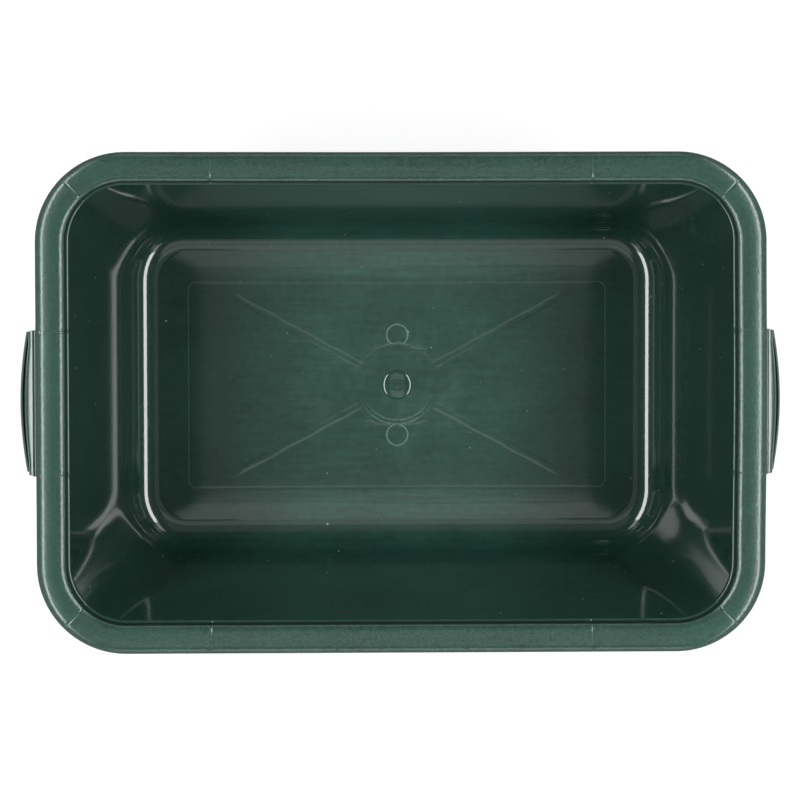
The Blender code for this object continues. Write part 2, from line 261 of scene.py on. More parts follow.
def bend(points, radius, start, end, steps, way=-1):
    """Continues a section with an arc, inwards for way -1 and outwards for way 1.

    Angles are slopes in degrees, rising inwards.
    """
    u, d = points[-1]
    at = math.radians(start)
    cu, cd = u - way * radius * math.sin(at), d - radius * math.cos(at)
    for i in range(1, steps + 1):
        now = math.radians(start + (end - start) * i / steps)
        points.append((cu + way * radius * math.sin(now), cd + radius * math.cos(now)))


def rim_profile():
    """Closed section of the rim, from the skirt's foot over the top, as (inset, drop)."""
    foot = TOP - RIM_DEPTH
    drop = SKIRT_FOOT - TOP
    lip = 0.0005
    # slopes of the section in degrees and the arcs between them
    rise = ((0.0026, 90, 42, 6), (0.0135, 42, 12, 13), (0.042, 12, 0, 9))
    fall = ((0.003, 0, -22, 4), (0.014, -22, -40, 7), (0.0014, -40, -79, 5))
    down = sum(r * (math.cos(math.radians(b)) - math.cos(math.radians(a)))
               for r, a, b, _steps in rise)
    pts = [(lip * 0.3, drop + lip * 0.3), (0.0, drop + lip), (0.0001, drop + 0.004),
           (0.0002, -0.0150), (0.0003, -down - 0.002), (0.0003, -down)]
    for item in rise:
        bend(pts, *item)
    pts += [(pts[-1][0] + 0.0016, 0.0), (pts[-1][0] + 0.0032, 0.0)]
    for item in fall:
        bend(pts, *item)
    side, low = pts[-1]
    foot_d = -0.0096
    steep = math.tan(math.radians(79))
    pts.append((side + (low - foot_d) / steep * 0.6, low + (foot_d - low) * 0.6))
    pts.append((side + (low - foot_d) / steep, foot_d))
    pts.append((pts[-1][0] + 0.0003, foot_d - 0.0001))
    turn = 90 - math.degrees(LEAN)
    bend(pts, 0.0065, -23, -34, 5)
    bend(pts, 0.0010, -34, -turn, 5)
    pts += [(wall_inset(foot + 0.0006), -RIM_DEPTH + 0.0006), (wall_inset(foot), -RIM_DEPTH)]
    outer = wall_inset(foot) - SKIN / math.cos(LEAN)
    pts += [(outer, -RIM_DEPTH), (FLANGE - SKIN, -STEP - 0.0002), (FLANGE - SKIN, -SKIN - EDGE)]
    pts += arc(FLANGE - SKIN - EDGE, -SKIN - EDGE, EDGE, EDGE, 0, 90, 4)[1:]
    inner = SHOULDER - SKIN
    pts += arc(0.0003 + SHOULDER, -SHOULDER, inner, inner, 90, 180, 8)
    pts += [(SKIN, -0.0155), (SKIN, drop + 0.004), (SKIN, drop + lip),
            (SKIN - lip * 0.3, drop + lip * 0.3), (SKIN - lip, drop), (lip, drop)]
    return pts


def sink_marks(points):
    """Shallow valleys across the rim over each gusset, deeper to the inside and in the corners."""
    x, y, _z = points.T
    from_edge = np.minimum(HALF_X - np.abs(x), HALF_Y - np.abs(y))
    inner = smooth(from_edge, 0.015, 0.021)
    depth = np.zeros(len(points))
    straight_x = (np.abs(x) < HALF_X - RIM_CORNER) * (np.abs(y) > HALF_Y - 0.05)
    straight_y = (np.abs(y) < HALF_Y - RIM_CORNER) * (np.abs(x) > HALF_X - 0.05)
    for mark, strength in zip(LONG_MARKS, LONG_MARK_DEPTHS):
        strength = strength * (1 + 0.8 * inner)
        depth += strength * np.exp(-((x - mark) / 0.0013) ** 2) * straight_x
    for mark in SHORT_MARKS:
        strength = SHORT_MARK_DEPTH * (1 + 2.5 * inner)
        depth += strength * np.exp(-((y - mark) / 0.0012) ** 2) * straight_y
    dx = np.abs(x) - (HALF_X - RIM_CORNER)
    dy = np.abs(y) - (HALF_Y - RIM_CORNER)
    off = (dx - dy) / math.sqrt(2)
    depth += CORNER_MARK_DEPTH * np.exp(-(off / 0.00065) ** 2) * (dx > 0) * (dy > 0)
    return depth


def make_rim():
    """Skirt, shoulder, flange and ledge as one closed ring."""
    profile = rim_profile()
    levels = []
    for inset, drop in profile:
        radius = RIM_CORNER - inset
        levels.append(ring(inset, radius, TOP + drop))
    verts = np.concatenate(levels)
    # the marks show on the upper face only
    shown = np.repeat(
        [1.0 if 0.004 < u <= LEDGE + 0.001 and d > -0.0112 and i < UPPER_POINTS else 0.0
         for i, (u, d) in enumerate(profile)], STATIONS)
    sunk = sink_marks(verts) * shown
    verts = bow(verts)
    verts[:, 2] -= sunk
    faces = ring_faces(len(profile), STATIONS)
    # the skirt is open under each grip
    notch_y = GRIP_HIGH.y - SKIN
    notch_z = GRIP_HIGH.z - GRIP_DROP - GRIP_WALL - GAP - GRIP_WALL
    keep = []
    for f in faces:
        c = verts[list(f)].mean(0)
        if abs(c[1]) < notch_y and c[2] < notch_z and abs(c[0]) > HALF_X - 0.006:
            continue
        keep.append(f)
    item = object_from("rim_skin", verts, keep)
    bm = bmesh.new()
    bm.from_mesh(item.data)
    open_edges = [e for e in bm.edges if len(e.link_faces) == 1]
    bmesh.ops.holes_fill(bm, edges=open_edges, sides=0)
    bmesh.ops.delete(bm, geom=[v for v in bm.verts if not v.link_faces], context="VERTS")
    bmesh.ops.recalc_face_normals(bm, faces=bm.faces)
    bm.to_mesh(item.data)
    bm.free()
    item.data.shade_smooth()
    # the small ledge inside the rim takes the second material
    for face in item.data.polygons:
        if TOP - 0.0115 < face.center.z < TOP - 0.0094 and face.normal.z > 0.5:
            face.material_index = 1
    weigh_normals(item, 40)
    return item


# Floor relief, in metres above the plain crowned floor

# Angle from X of the creases that cross the floor
RIDGE = math.atan2(FLOOR_Y - FLOOR_CORNER * (1 - math.cos(math.pi / 4)),
                   FLOOR_X - FLOOR_CORNER * (1 - math.cos(math.pi / 4)))


def crown_share(x, y):
    """0 at the floor's edge and 1 on the hub, along four faces that run softly into each other."""
    x = np.abs(x)
    y = np.abs(y)
    shares = []
    for half, far, u, v, edge in ((math.pi / 2 - RIDGE, FLOOR_Y, x, y, FLOOR_X),
                                  (RIDGE, FLOOR_X, y, x, FLOOR_Y)):
        q = np.clip(u / edge, 0, 1)
        for _ in range(12):
            hub_u = HUB_RADIUS * np.sin(q * half)
            hub_v = HUB_RADIUS * np.cos(q * half)
            c = np.clip((far - v) / (far - hub_v), 0, 1)
            q = np.clip((u - c * hub_u) / np.maximum(edge * (1 - c), 1e-6), 0, 1)
            q = np.where(c > 0.999, np.clip(np.arctan2(u, v) / half, 0, 1), q)
        shares.append(c)
    gap = shares[0] - shares[1]
    share = 0.5 * (shares[0] + shares[1] - np.sqrt(gap * gap + 0.0016)) + 0.02
    return np.where(np.hypot(x, y) <= HUB_RADIUS, 1.0, np.clip(share, 0.0, 1.0))


# Strip along each long wall: its width and how much higher the floor is beyond it
BORDER = 0.0132
BORDER_DROP = 0.00046

# The cove meets the floor at a steeper angle in the middle of the long walls
TOE = math.radians(4.5)
LONG_TOE = math.radians(7.0)
FOOT_GAP = COVE * (math.sin(TOE) - (1 - math.cos(TOE)) / math.tan(TOE))
LONG_FOOT_GAP = COVE * (math.sin(LONG_TOE) - (1 - math.cos(LONG_TOE)) / math.tan(LONG_TOE))


def long_share(x):
    """1 in the middle of the long walls and 0 at their ends."""
    return 1 - smooth(np.abs(x), 0.13, 0.18)


def steepen_toe(level):
    """Moves the lowest levels of the cove to the steeper angle along the long walls."""
    x, y, z = level.T
    u = np.abs(y) - FLOOR_Y
    steep = FLOOR + np.where(u > LONG_FOOT_GAP, (u - LONG_FOOT_GAP) * math.tan(LONG_TOE),
                             (LONG_FOOT_GAP - u) * BORDER_DROP / BORDER)
    weight = long_share(x) * (u > 0) * (u < COVE * math.sin(LONG_TOE))
    level[:, 2] = z + (steep - z) * weight
    return level


def plateau(off, half, edge):
    """1 inside a band, falling to 0 across its edges."""
    return 1 - smooth(np.abs(off), half - edge / 2, half + edge / 2)


def hub_lumps(turn):
    """How far the hub ring's edges wander, by the angle about the gate."""
    return np.sin(turn * 11 + 1.0) * 0.00025 + np.sin(turn * 23 + 0.4) * 0.0002


def relief(x, y):
    """Floor height over the plain crown.

    The ribs, the hub ring and the foot frame show through, and along the long walls run waves
    and a strip that tips to the wall.
    """
    h = np.zeros_like(x)
    r = np.hypot(x, y)
    turn = np.arctan2(y, x)
    lumps = hub_lumps(turn)
    for sx, sy in ((1, 1), (-1, 1), (-1, -1), (1, -1)):
        dx, dy = sx * math.cos(RIDGE), sy * math.sin(RIDGE)
        along = x * dx + y * dy
        off = x * dy - y * dx
        fade = (smooth(along, HUB_RADIUS - 0.001, HUB_RADIUS + 0.004)
                * (1 - smooth(along, 0.150, 0.176)))
        width = 0.0026 + 0.0003 * np.sin(along * 160 + sx)
        strength = 0.00022 - 0.00009 * smooth(along, 0.07, 0.15)
        h += fade * strength * plateau(off, width, 0.0022)
        h += fade * 0.00002 * plateau(off, 0.0006, 0.0008)
    # the hub ring shows at the back and front only
    back = np.clip(np.sin(turn), 0, 1) ** 1.5
    front = np.clip(-np.sin(turn), 0, 1) ** 1.5
    h += 0.00034 * back * smooth(r, 0.020, 0.036) * (1 - smooth(r + lumps, 0.03775, 0.03925))
    h += 0.00028 * front * plateau(r + lumps * 0.4 - 0.0340, 0.0020, 0.0015)
    # the foot frame's outline
    qx = np.abs(x) - (FOOT_LINE_X - FOOT_LINE_CORNER)
    qy = np.abs(y) - (FOOT_LINE_Y - FOOT_LINE_CORNER)
    d = (np.hypot(np.maximum(qx, 0), np.maximum(qy, 0)) + np.minimum(np.maximum(qx, qy), 0)
         - FOOT_LINE_CORNER)
    h -= 0.00011 * np.exp(-(d / 0.0006) ** 2)
    # waves that run along the long walls
    edge = FLOOR_Y - np.abs(y)
    waves = 0.000009 * np.sin(edge / 0.0009 + 1.3 * np.sin(x * 9.0) + 0.6 * np.sin(x * 23.0 + 1.0))
    waves += 0.000014 * np.exp(-((edge - 0.0085) / 0.0012) ** 2)
    # a strip along each long wall tips down a little to the wall
    from_end = FLOOR_X - np.abs(x)
    gap = FOOT_GAP + (LONG_FOOT_GAP - FOOT_GAP) * long_share(x)
    h += BORDER_DROP * np.clip((edge + gap) / BORDER, 0, 1) * smooth(from_end, 0.0, 0.05)
    h += (waves * smooth(edge, 0.001, 0.004) * (1 - smooth(edge, 0.012, 0.018))
          * (1 - smooth(np.abs(x), 0.15, 0.2)))
    return h


def scuffs(x, y):
    """How pale the plastic is worn on the hub ring's edges, from 0 to 1."""
    r = np.hypot(x, y)
    turn = np.arctan2(y, x)
    lumps = hub_lumps(turn)
    back = np.clip(np.sin(turn), 0, 1) ** 3
    front = np.clip(-np.sin(turn), 0, 1) ** 2.5
    worn = 0.9 * back * np.exp(-((r + lumps - 0.0380) / 0.0005) ** 2)
    worn += 0.9 * front * np.exp(-((r + lumps * 0.4 - 0.0322) / 0.0005) ** 2)
    worn += 0.7 * front * np.exp(-((r + lumps * 0.4 - 0.0358) / 0.0005) ** 2)
    return np.clip(worn, 0, 1)


def polar(radius, angles):
    """One round level, with its stations at given angles."""
    level = np.zeros((len(angles), 3))
    level[:, 0] = radius * np.cos(angles)
    level[:, 1] = radius * np.sin(angles)
    return level


def floor_rings():
    """Levels of the floor from the cove's foot to the hub's middle."""
    levels = []
    near = [0.0, 0.0012, 0.0024, 0.0036, 0.0048, 0.006, 0.0070, 0.0078, 0.0085, 0.0092, 0.010,
            0.0112, 0.0124, 0.0136, 0.015, 0.017, 0.019, 0.0215, 0.024, 0.0255, 0.0265]
    foot_at = FLOOR_Y - FOOT_LINE_Y
    near += [foot_at + o for o in (-0.0009, -0.0006, -0.0003, 0.0,
                                   0.0003, 0.0006, 0.0009, 0.0014)]
    for inset in near:
        radius = max(FLOOR_CORNER - inset, 0.0)
        if inset > 0.012:
            radius = FLOOR_CORNER - inset + (inset - 0.012) * 0.62
        levels.append(ring(FLOOR_INSET + inset, radius, 0.0))
    start = levels[-1]
    ridges = (RIDGE, math.pi - RIDGE, math.pi + RIDGE, 2 * math.pi - RIDGE)

    def turns(spread):
        """Polar angles of the stations, gathered about the ridges."""
        angles = []
        for corner in range(4):
            nxt = ridges[(corner + 1) % 4] + (2 * math.pi if corner == 3 else 0.0)
            angles += [ridges[corner] + spread * (turn / 45 - 1) for turn in CORNER_ANGLES]
            first, last = ridges[corner] + spread, nxt - spread
            shares = LONG_SHARES if corner % 2 == 0 else SHORT_SHARES
            angles += [first + (last - first) * share for share in shares]
        return np.array(angles)

    wide = turns(0.030)
    margin = 0.036
    reach = np.minimum((FLOOR_X - margin) / np.abs(np.cos(wide)),
                       (FLOOR_Y - margin) / np.maximum(np.abs(np.sin(wide)), 1e-6))
    gathered = polar(reach, wide)
    for i in range(1, 9):
        levels.append(start + (gathered - start) * i / 8)
    angles = turns(0.15)
    hub = polar(HUB_RADIUS + 0.003, angles)
    steps = 40
    for i in range(1, steps + 1):
        levels.append(gathered + (hub - gathered) * i / steps)
    for radius in (0.0390, 0.0385, 0.0380, 0.0375, 0.0370, 0.0365, 0.0360, 0.0354, 0.0345, 0.0338,
                   0.0332, 0.0327, 0.0322, 0.0317, 0.0311, 0.0305, 0.0300, 0.0295, 0.0288, 0.027,
                   0.024, 0.021, 0.018, 0.0155, 0.014, 0.0125, 0.009, 0.004):
        levels.append(polar(radius, angles))
    return levels


def make_shell():
    """Walls, cove and floor, inside and out, as one closed skin."""
    top = TOP - RIM_DEPTH
    low = COVE_Z - COVE * math.sin(LEAN)
    inner = []
    for i in range(27):
        z = top + (low - top) * i / 26
        inner.append(ring(wall_inset(z), wall_corner(z), z))
    lean = math.degrees(LEAN)
    for x, z in arc(FLOOR_INSET, COVE_Z, COVE, COVE, 180 + lean, 270 - math.degrees(TOE), 24)[1:]:
        inner.append(steepen_toe(ring(x, FOOT_CORNER - (x - WALL_TOUCH), z)))
    toe_x = FLOOR_INSET - COVE * math.sin(TOE)
    toe_z = FLOOR + COVE * (1 - math.cos(TOE))
    for x in (FLOOR_INSET - LONG_FOOT_GAP, FLOOR_INSET - 0.0014, FLOOR_INSET - FOOT_GAP):
        z = toe_z - (x - toe_x) * math.tan(TOE)
        inner.append(steepen_toe(ring(x, FOOT_CORNER - (x - WALL_TOUCH), max(z, FLOOR))))
    count_wall = len(inner)
    flat = floor_rings()
    for level in flat:
        x, y = level[:, 0], level[:, 1]
        level[:, 2] = FLOOR + CROWN * crown_share(x, y) + relief(x, y)
        inner.append(level)
    outer = []
    angles = np.arctan2(flat[-1][:, 1], flat[-1][:, 0])
    for radius in (0.003, 0.02, HUB_RADIUS):
        level = polar(radius, angles)
        level[:, 2] = BASE + CROWN
        outer.append(level)
    for x, z in arc(FLOOR_INSET, COVE_Z, COVE + SKIN, COVE + SKIN, 270, 180 + lean, 14):
        outer.append(ring(x, FOOT_CORNER - (x - WALL_TOUCH), z))
    cos = math.cos(LEAN)
    start_z = COVE_Z - (COVE + SKIN) * math.sin(LEAN)
    for i in range(1, 9):
        z = start_z + (top - start_z) * i / 8
        outer.append(ring(wall_inset(z) - SKIN / cos, wall_corner(z) + SKIN, z))
    levels = inner + outer
    verts = bow(np.concatenate(levels))
    n = STATIONS
    faces = ring_faces(len(inner), n, closed=False)
    base = len(inner) * n
    faces += [tuple(base + i for i in f) for f in ring_faces(len(outer), n, closed=False)]
    last = (len(levels) - 1) * n
    faces += [(last + j, last + (j + 1) % n, (j + 1) % n, j) for j in range(n)]
    faces.append(tuple(base - n + j for j in range(n)))
    faces.append(tuple(base + j for j in range(n)))
    item = object_from("shell_skin", verts, faces)
    wear = np.zeros(len(verts))
    wear[:base] = scuffs(verts[:base, 0], verts[:base, 1])
    item.data.attributes.new("wear", "FLOAT", "POINT").data.foreach_set("value", wear)
    first_outer = (len(inner) - 1) * n
    outside = list(item.data.polygons)[first_outer:first_outer + (len(outer) - 1) * n]
    for face in outside + [item.data.polygons[len(faces) - 1]]:
        face.material_index = 1
    weigh_normals(item, 50)
    # the crease between the cove's toe and the floor, along the long walls
    for edge in item.data.edges:
        a, b = edge.vertices
        if a // n == b // n and a // n in (count_wall - 3, count_wall - 1):
            beyond = min(abs(verts[a][1]), abs(verts[b][1])) > FLOOR_Y
            edge.use_edge_sharp = bool(beyond)
    return item


# Turned details on the floor

def turned(name, profile, centre, steps=96):
    """Turns an open profile, listed from the axis outwards, about a vertical axis."""
    verts = []
    faces = []
    rows = []
    for x, z in profile:
        if x < 1e-6:
            rows.append([len(verts)])
            verts.append((centre[0], centre[1], centre[2] + z))
            continue
        row = []
        for i in range(steps):
            angle = 2 * math.pi * i / steps
            row.append(len(verts))
            verts.append((centre[0] + x * math.cos(angle), centre[1] + x * math.sin(angle),
                          centre[2] + z))
        rows.append(row)
    for a, b in zip(rows, rows[1:]):
        for i in range(steps):
            j = (i + 1) % steps
            if len(a) == 1:
                faces.append((a[0], b[i], b[j]))
            elif len(b) == 1:
                faces.append((a[i], a[j], b[0]))
            else:
                faces.append((a[i], b[i], b[j], a[j]))
    return object_from(name, verts, faces)


def bend_out(points, radius, start, end, steps):
    """Continues a section outwards with an arc. Angles are slopes in degrees, falling outwards."""
    bend(points, radius, start, end, steps, way=1)


def make_gate():
    """Low dome over the gate, with a plain nub in its middle."""
    nub = 0.0030
    rim_width = 0.0030
    crown_slope, rim_slope = 9, 34
    shoulder = GATE_RADIUS - 0.0001 - rim_width
    pts = [(0.0, 0.0005), (0.0010, 0.0005), (0.0016, 0.00034), (0.0024, 0.00010), (nub, 0.0)]
    for i in range(1, 9):
        x = nub + (shoulder - nub) * i / 8
        fall = -0.5 * math.tan(math.radians(crown_slope)) * (x - nub) ** 2 / (shoulder - nub)
        pts.append((x, fall))
    turn = math.sin(math.radians(rim_slope)) - math.sin(math.radians(crown_slope))
    bend_out(pts, rim_width / turn, crown_slope, rim_slope, 12)
    height = GATE_HIGH.z - FLOOR - CROWN - BORDER_DROP - 0.0005
    pts = [(x, z + height) for x, z in pts]
    pts += [(GATE_RADIUS, pts[-1][1] - 0.0002), (GATE_RADIUS, -0.0004), (0.0, -0.0004)]
    return turned("gate_dome", pts, (0.0, 0.0, FLOOR + CROWN + BORDER_DROP))


def make_ejector_mark(name, y):
    """Fine raised line where an ejector pin met the floor."""
    radius = 0.0096
    half = 0.00065
    height = 0.00016
    sunk = -0.0003
    pts = [(radius - half, sunk)]
    pts += [(radius + half * t, height * (1 - t * t)) for t in (-1, -0.7, -0.35, 0, 0.35, 0.7, 1)]
    pts += [(radius + half, sunk), (radius - half, sunk)]
    crown = float(crown_share(np.array([0.0]), np.array([abs(y)]))[0])
    z = FLOOR + BORDER_DROP + CROWN * crown
    return turned(name, pts, (0.0, y, z))


# Grips

GRIP_END_REACH = 0.0094
GRIP_TRIM = 0.0012


def grip_reach(place):
    """How far the lip stands out at a place from -1 to 1 along the grip."""
    mid = GRIP_HIGH.x - HALF_X - GRIP_TRIM
    return GRIP_END_REACH + (mid - GRIP_END_REACH) * (1 - place * place)


def make_grip(name, side):
    """A bowed hood with a rolled lip, hollow below."""
    depth = TOP - GRIP_LOW.z
    shelf = 0.0105
    knuckle = 0.014
    half = GRIP_HIGH.y + 0.00008
    root = -END_TRIM if side < 0 else 0.0
    stations = 41

    def outer(reach):
        """Fillet along the skirt, hood, groove and raised outer bead."""
        face = max(reach - 0.0052, 0.0060)
        bead = 0.0013 * max(reach - 0.0096, 0.0) / 0.005 + 0.0004
        pts = [(root, 0.0016 - shelf), (root + 0.0001, 0.0012 - shelf)]
        bend_out(pts, -0.0006, 80, 28, 3)
        bend_out(pts, -0.0026, 28, 14, 3)
        bend_out(pts, -0.0010, 14, 0, 2)
        pts.append((0.0015, pts[-1][1]))
        bend_out(pts, 0.0030, 0, 13, 4)
        room = (face - 0.0034) / 0.0062
        bend_out(pts, 0.0240 * room, 13, 18, 5)
        bend_out(pts, 0.0340 * room, 18, 22, 4)
        turn = math.sin(math.radians(86)) - math.sin(math.radians(22))
        bend_out(pts, (face - 0.0003 - pts[-1][0]) / turn, 22, 86, 12)
        ground = -depth + 0.0022
        pts += [(face, ground + 0.0008)]
        pts += arc(face + 0.0008, ground + 0.0008, 0.0008, 0.0008, 180, 270, 3)[1:]
        inside = reach - 0.0030
        pts += arc(inside - 0.0005, ground + 0.0005, 0.0005, 0.0005, 270, 340, 3)
        crest = ground + bead
        pts += arc(reach - 0.0020, crest - 0.0004, 0.0008, 0.0008, 160, 10, 8)
        pts += [(reach, -depth + 0.0010), (reach, -depth + 0.0004), (reach - 0.0004, -depth),
                (root, -depth)]
        return pts

    def hollow(reach):
        """The finger room below, open to the ground and to the tub's wall."""
        face = reach - 0.0050 - GRIP_WALL
        mouth = -depth - 0.002
        pts = [(-GRIP_WALL, -shelf - GRIP_WALL)]
        pts += arc(0.0, -shelf - knuckle, face, knuckle - GRIP_WALL, 90, 0, 12)
        pts += [(face, mouth), (-GRIP_WALL, mouth)]
        return pts

    def loft(label, section, half_length):
        """Runs a section along the grip as its reach changes, and caps the ends."""
        rows = []
        for i in range(stations):
            place = 2 * i / (stations - 1) - 1
            rows.append([(u, place * (half_length - 0.25 * max(u, 0.0)), z)
                         for u, z in section(grip_reach(place))])
        n = len(rows[0])
        verts = [p for row in rows for p in row]
        faces = []
        for i in range(stations - 1):
            for j in range(n):
                k = (j + 1) % n
                faces.append((i * n + j, i * n + k, (i + 1) * n + k, (i + 1) * n + j))
        faces.append(tuple(range(n)))
        faces.append(tuple((stations - 1) * n + j for j in range(n)))
        return object_from(label, verts, faces)

    item = loft(name, outer, half)
    cutter = loft(name + "_hollow", hollow, half - GRIP_WALL)
    turn = Matrix.Rotation(0.0 if side > 0 else math.pi, 4, "Z")
    for o in (item, cutter):
        o.data.transform(Matrix.Translation((side * HALF_X, 0.0, TOP)) @ turn)
    boolean = item.modifiers.new("Cut", "BOOLEAN")
    boolean.operation = "DIFFERENCE"
    boolean.solver = "EXACT"
    boolean.object = cutter
    bevel = item.modifiers.new("Bevel", "BEVEL")
    bevel.width = 0.0004
    bevel.segments = 2
    bevel.limit_method = "ANGLE"
    bevel.angle_limit = math.radians(50)
    bpy.context.view_layer.update()
    graph = bpy.context.evaluated_depsgraph_get()
    mesh = bpy.data.meshes.new_from_object(item.evaluated_get(graph))
    item.modifiers.clear()
    item.data = mesh
    bpy.data.objects.remove(cutter)
    mesh.shade_smooth()
    # the outer bead takes the second material
    for face in mesh.polygons:
        reach = grip_reach(min(max(face.center.y / half, -1.0), 1.0))
        beyond = abs(face.center.x) - HALF_X - reach
        low = beyond > -0.0031 and face.normal.z > -0.2 or beyond > -0.0051 and face.normal.z > 0.35
        face.material_index = 1 if low else 0
    weigh_normals(item, 35)
    return item


# Materials

def math_node(tree, operation, a, b=None, c=None):
    """A Math node's output. Each input is a number or another node's output."""
    node = tree.nodes.new("ShaderNodeMath")
    node.operation = operation
    for index, value in enumerate((a, b, c)):
        if value is None:
            continue
        if isinstance(value, (int, float)):
            node.inputs[index].default_value = value
        else:
            tree.links.new(value, node.inputs[index])
    return node.outputs[0]


def noise(tree, vector, scale, detail=3.0, rough=0.5, stretch=None, turn=0.0):
    """Noise from 0 to 1, drawn out by stretch and turned about Z where these are given."""
    if stretch is not None:
        mapping = tree.nodes.new("ShaderNodeMapping")
        mapping.vector_type = "TEXTURE"
        mapping.inputs["Scale"].default_value = stretch
        mapping.inputs["Rotation"].default_value = (0.0, 0.0, turn)
        tree.links.new(vector, mapping.inputs["Vector"])
        vector = mapping.outputs[0]
    node = tree.nodes.new("ShaderNodeTexNoise")
    node.inputs["Scale"].default_value = scale
    node.inputs["Detail"].default_value = detail
    node.inputs["Roughness"].default_value = rough
    tree.links.new(vector, node.inputs["Vector"])
    return node.outputs["Fac"]


def ramp(tree, value, low, high, out_low=0.0, out_high=1.0):
    """Runs from out_low to out_high as the value goes from low to high."""
    node = tree.nodes.new("ShaderNodeMapRange")
    node.inputs["From Min"].default_value = low
    node.inputs["From Max"].default_value = high
    node.inputs["To Min"].default_value = out_low
    node.inputs["To Max"].default_value = out_high
    tree.links.new(value, node.inputs["Value"])
    return node.outputs[0]


def mixed(tree, colour, other, factor, blend="MIX"):
    """A colour mixed with another. Each of the three is a value or another node's output."""
    mix = tree.nodes.new("ShaderNodeMix")
    mix.data_type = "RGBA"
    mix.blend_type = blend
    for socket, value in (("A", colour), ("B", other), ("Factor", factor)):
        if isinstance(value, (float, tuple)):
            mix.inputs[socket].default_value = value
        else:
            tree.links.new(value, mix.inputs[socket])
    return mix.outputs["Result"]


def multiplied(tree, colour, factor):
    return mixed(tree, colour, factor, 1.0, "MULTIPLY")


def split_axes(tree, coordinates):
    """A texture coordinate, and the node that splits it into X, Y and Z."""
    where = tree.nodes.new("ShaderNodeTexCoord").outputs[coordinates]
    split = tree.nodes.new("ShaderNodeSeparateXYZ")
    tree.links.new(where, split.inputs[0])
    return where, split


def seen(tree):
    """1 for the camera's rays and those that it sees by gloss or through something, else 0."""
    path = tree.nodes.new("ShaderNodeLightPath")
    share = math_node(tree, "MAXIMUM", path.outputs["Is Camera Ray"], path.outputs["Is Glossy Ray"])
    return math_node(tree, "MAXIMUM", share, path.outputs["Is Transmission Ray"])


def paint_floor_light_and_wear(tree, where, split, colour, flow, fine):
    """Paints light on the middle of the floor, most on strips along the long walls, and pales what
    is worn.
    """
    along = math_node(tree, "ABSOLUTE", split.outputs["X"])
    across = math_node(tree, "ABSOLUTE", split.outputs["Y"])
    # painted light: the floor is lighter in its middle and on strips along the long walls
    painted_floor_light = math_node(tree, "MULTIPLY", ramp(tree, along, 0.06, 0.18, 1.0, 0.0),
                     ramp(tree, across, 0.092, 0.102, 0.18, 0.50))
    painted_floor_light = math_node(tree, "MULTIPLY", painted_floor_light, ramp(tree, across, 0.1215, 0.1240, 1.0, 0.0))
    painted_floor_light = math_node(tree, "MULTIPLY", painted_floor_light, ramp(tree, flow, 0.38, 0.62, 0.70, 1.30))
    colour = multiplied(tree, colour, math_node(tree, "ADD", painted_floor_light, 1.0))
    # pale swirls about the gate
    squares = math_node(tree, "ADD", math_node(tree, "MULTIPLY", along, along),
                        math_node(tree, "MULTIPLY", across, across))
    from_gate = math_node(tree, "SQRT", squares)
    swirl = ramp(tree, noise(tree, where, 30.0, 6.0, 0.68), 0.48, 0.72, 0.0, 0.15)
    swirl = math_node(tree, "MULTIPLY", swirl, ramp(tree, from_gate, 0.04, 0.13, 1.0, 0.0))
    worn = tree.nodes.new("ShaderNodeAttribute")
    worn.attribute_name = "wear"
    patchy = ramp(tree, fine, 0.40, 0.55, 0.35, 1.0)
    pale = math_node(tree, "MULTIPLY_ADD", worn.outputs["Fac"], patchy, swirl)
    return mixed(tree, colour, (*PALE, 1.0), pale)


def dusty(tree, where, colour, scale, share):
    """Pale specks of dust over a colour, one in the middle of a share of the cells."""
    cells = tree.nodes.new("ShaderNodeTexVoronoi")
    cells.inputs["Scale"].default_value = scale
    cells.inputs["Randomness"].default_value = 1.0
    tree.links.new(where, cells.inputs["Vector"])
    parts = tree.nodes.new("ShaderNodeSeparateColor")
    tree.links.new(cells.outputs["Color"], parts.inputs[0])
    few = math_node(tree, "GREATER_THAN", parts.outputs[0], 1.0 - share)
    size = math_node(tree, "MULTIPLY_ADD", parts.outputs[1], 0.07, 0.03)
    dot = math_node(tree, "LESS_THAN", cells.outputs["Distance"], size)
    dot = math_node(tree, "MULTIPLY", dot, few)
    return mixed(tree, colour, DUST, math_node(tree, "MULTIPLY", dot, 0.5))


GREEN = (0.0090, 0.0367, 0.0262)
# the tub's green made a little darker for the rim's pieces: painted shade, as they are one moulding
# with the tub
SHADED_RIM_GREEN = (0.0082, 0.0342, 0.0243)
PALE = (0.085, 0.140, 0.120)
DUST = (0.42, 0.50, 0.47, 1.0)
GLOSS_TINT = (0.66, 1.0, 0.87, 1.0)


